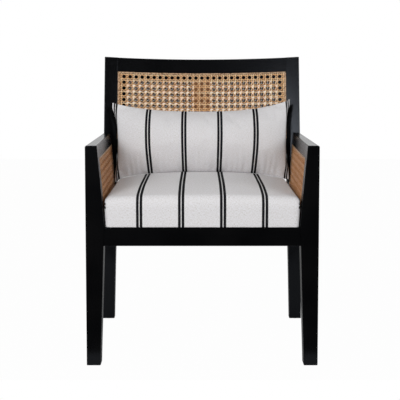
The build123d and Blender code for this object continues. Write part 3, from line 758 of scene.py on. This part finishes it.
def seam_patch(a, b):
    """The patch inside the seam, whose sides roll over it at the waist: a and b run from -1 to 1."""
    top_up = along_slope(top_middle + np.where(a < 0, top_left, top_right) * np.abs(a) ** top_curve)
    low_across = a * low_reach
    corner_drop = np.where(a < 0, low_left, low_right)
    sunk = ease((np.abs(low_across) - low_from) / (low_reach - low_from))
    low_up = along_slope((seat_height(low_across) + seam_clear) * (1 - sunk) + corner_drop * sunk)
    t = (b + 1) / 2
    up = (1 - t) * low_up + t * top_up
    near_seam = np.abs(a) ** roll_edge
    gathered = panel_half - low_draw * (1 - t) ** 3 + side_roll * (1 - b ** 2) * np.abs(a) ** 5
    across = a * ((1 - near_seam) * gathered + near_seam * side_reach(a, b))
    return across, up


bpy.ops.object.select_all(action="DESELECT")
bpy.ops.mesh.primitive_grid_add(x_subdivisions=116, y_subdivisions=52, size=2)
pillow = bpy.context.object
pillow.name = "lumbar_cushion"
pillow.data.uv_layers[0].name = "cloth"
for corner, loop in zip(pillow.data.uv_layers[0].data, pillow.data.loops):
    spot = pillow.data.vertices[loop.vertex_index].co
    drawn = math.copysign(max(0.0, abs(spot.x) - edge_from) ** edge_curve * edge_stretch, spot.x)
    corner.uv = (spot.x * cloth_half + drawn, spot.y * cloth_rise)
apply_modifier(pillow, "panels", "SOLIDIFY", thickness=0.2, offset=0)
mesh = pillow.data
spread = points_of(mesh)
a, b, toward = np.clip(spread[:, 0], -1, 1), np.clip(spread[:, 1], -1, 1), np.sign(spread[:, 2])
full = (1 - np.abs(a) ** across_fall) ** across_round * (1 - np.abs(b) ** up_fall) ** up_round
from_corner = np.hypot((1 - np.abs(a)) / corner_across, (1 - b) / corner_up)
full *= ease((from_corner - corner_flat) / corner_ease)
across, up = seam_patch(a, b)
gather = (1 - np.abs(a) ** 3) * np.sin(gather_waves * a + gather_bend * np.sin(gather_uneven * a))
gather = gather * np.exp(-(b + 1) / gather_reach) * (1 - np.exp(-(b + 1) / gather_hem))
puff = np.where(toward > 0, front_fullness, rear_fullness) * full
out = toward * (seam_width / 2 + puff + gather_depth * gather * (full > 0))
start = np.stack([across, up, out], axis=1)
move_points(mesh, start)
seam = pillow.vertex_groups.new(name="seam")
on_seam = np.maximum(np.abs(a), np.abs(b)) > 1 - 1e-5
seam.add([int(i) for i in np.nonzero(on_seam)[0]], 1.0, "REPLACE")
cloth = pillow.modifiers.new("cloth", "CLOTH")
cloth.settings.quality = 8
cloth.settings.mass = 0.1
cloth.settings.tension_stiffness = 30
cloth.settings.compression_stiffness = 30
cloth.settings.shear_stiffness = 10
cloth.settings.bending_stiffness = 5
cloth.settings.air_damping = 3
cloth.settings.vertex_group_mass = "seam"
cloth.settings.shrink_min = -0.008
cloth.settings.use_pressure = True
cloth.settings.uniform_pressure_force = 6
cloth.settings.effector_weights.gravity = 0
cloth.collision_settings.use_collision = False
cloth.point_cache.frame_start = 1
cloth.point_cache.frame_end = puff_frames
for moment in range(1, puff_frames + 1):
    bpy.context.scene.frame_set(moment)
bpy.ops.object.modifier_apply(modifier="cloth")
bpy.context.scene.frame_set(1)
mesh = pillow.data
moved = points_of(mesh) - start
reach = np.linalg.norm(moved, axis=1)
moved *= np.minimum(1, pillow_cap / np.maximum(reach, 1e-9))[:, None]
move_points(mesh, start + moved)
apply_modifier(pillow, "finer", "SUBSURF", levels=1, render_levels=1)
bpy.ops.object.shade_smooth()
mesh = pillow.data
across, up, out = points_of(mesh).T
behind = np.minimum(-seam_setback - out, back_curve(across, 0.0) - back_clear)
laid = np.stack(on_slope(across, behind, up), axis=1)
on_seat = np.abs(across) < seat_half
laid[:, 2] = np.where(on_seat, np.maximum(laid[:, 2], seat_height(across) + seat_clear), laid[:, 2])
move_points(mesh, laid)
mesh.materials.clear()
mesh.materials.append(linen)
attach(pillow, "pillow")
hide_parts("lumbar_pillow", "pillow_insert")

# Studio: a plain pale floor that keeps the shadow, two soft lamps in front and a white backdrop behind.
# The camera stands where the photograph was taken from, two and a half metres in front of the seat.
scene = bpy.context.scene
scene.view_settings.view_transform = "Standard"
floor_width, floor_length, floor_middle, floor_glow = 10, 6, 2.57, 0.98
bpy.ops.object.select_all(action="DESELECT")
bpy.ops.mesh.primitive_plane_add(size=1, location=(0, 0, 0))
floor = bpy.context.object
floor.name = "studio_floor"
for vertex in floor.data.vertices:
    vertex.co = (floor_width * vertex.co.x, floor_middle + floor_length * vertex.co.y, 0)
material, tree, shader = material_start("studio_white")
shader.inputs["Base Color"].default_value = (0.44, 0.44, 0.44, 1)
shader.inputs["Roughness"].default_value = 0.9
shader.inputs["Specular IOR Level"].default_value = 0.1
glow = add_node(tree, "ShaderNodeEmission", in_Color=(1, 1, 1, 1), in_Strength=1.0)
seen = add_node(tree, "ShaderNodeLightPath")
both = add_node(tree, "ShaderNodeMixShader")
tree.links.new(maths(tree, "MULTIPLY", seen.outputs["Is Camera Ray"], floor_glow), both.inputs["Fac"])
tree.links.new(shader.outputs["BSDF"], both.inputs[1])
tree.links.new(glow.outputs["Emission"], both.inputs[2])
tree.links.new(both.outputs["Shader"], tree.nodes["Material Output"].inputs["Surface"])
floor.data.materials.append(material)

world = scene.world or bpy.data.worlds.new("studio")
scene.world = world
world.use_nodes = True
tree = world.node_tree
surround = tree.nodes["Background"]
surround.inputs["Color"].default_value = (1, 1, 1, 1)
seen = add_node(tree, "ShaderNodeLightPath")
heading = add_node(tree, "ShaderNodeTexCoord")
parts = add_node(tree, "ShaderNodeSeparateXYZ")
tree.links.new(heading.outputs["Generated"], parts.inputs["Vector"])
backdrop = remapped(tree, parts.outputs["Y"], (-0.15, 0.45), (0.015, 0.84), "SMOOTHSTEP")
mirrored = maths(tree, "MAXIMUM", seen.outputs["Is Glossy Ray"], seen.outputs["Is Transmission Ray"])
ambient = add_node(tree, "ShaderNodeMix", in_A=0.37)
tree.links.new(mirrored, ambient.inputs["Factor"])
tree.links.new(backdrop, ambient.inputs["B"])
level = add_node(tree, "ShaderNodeMix", in_B=1.0)
tree.links.new(seen.outputs["Is Camera Ray"], level.inputs["Factor"])
tree.links.new(ambient.outputs["Result"], level.inputs["A"])
tree.links.new(level.outputs["Result"], surround.inputs["Strength"])


def softbox(name, place, target, size, power):
    """A square soft lamp that looks at a point of the chair."""
    away = np.array(place) - np.array(target)
    turn = math.atan2(away[0], -away[1])
    tilt = math.atan2(math.hypot(away[0], away[1]), away[2])
    bpy.ops.object.light_add(type="AREA", location=place, rotation=(tilt, 0, turn))
    lamp = bpy.context.object
    lamp.name = name
    lamp.data.shape = "SQUARE"
    lamp.data.size = size
    lamp.data.energy = power


softbox("key_softbox", place=(-1.36, -2.75, 1.70), target=(0, 0, 0.6), size=1.15, power=48.5)
softbox("fill_softbox", place=(2.15, -2.7, 1.9), target=(0, 0, 0.5), size=1.4, power=32)

camera_place, camera_tilt = (-0.006, -2.813, 0.807), 82.02
bpy.ops.object.camera_add(location=camera_place, rotation=(math.radians(camera_tilt), 0, 0))
camera = bpy.context.object
camera.data.sensor_width = 36.0
camera.data.lens = 85.55
scene.camera = camera
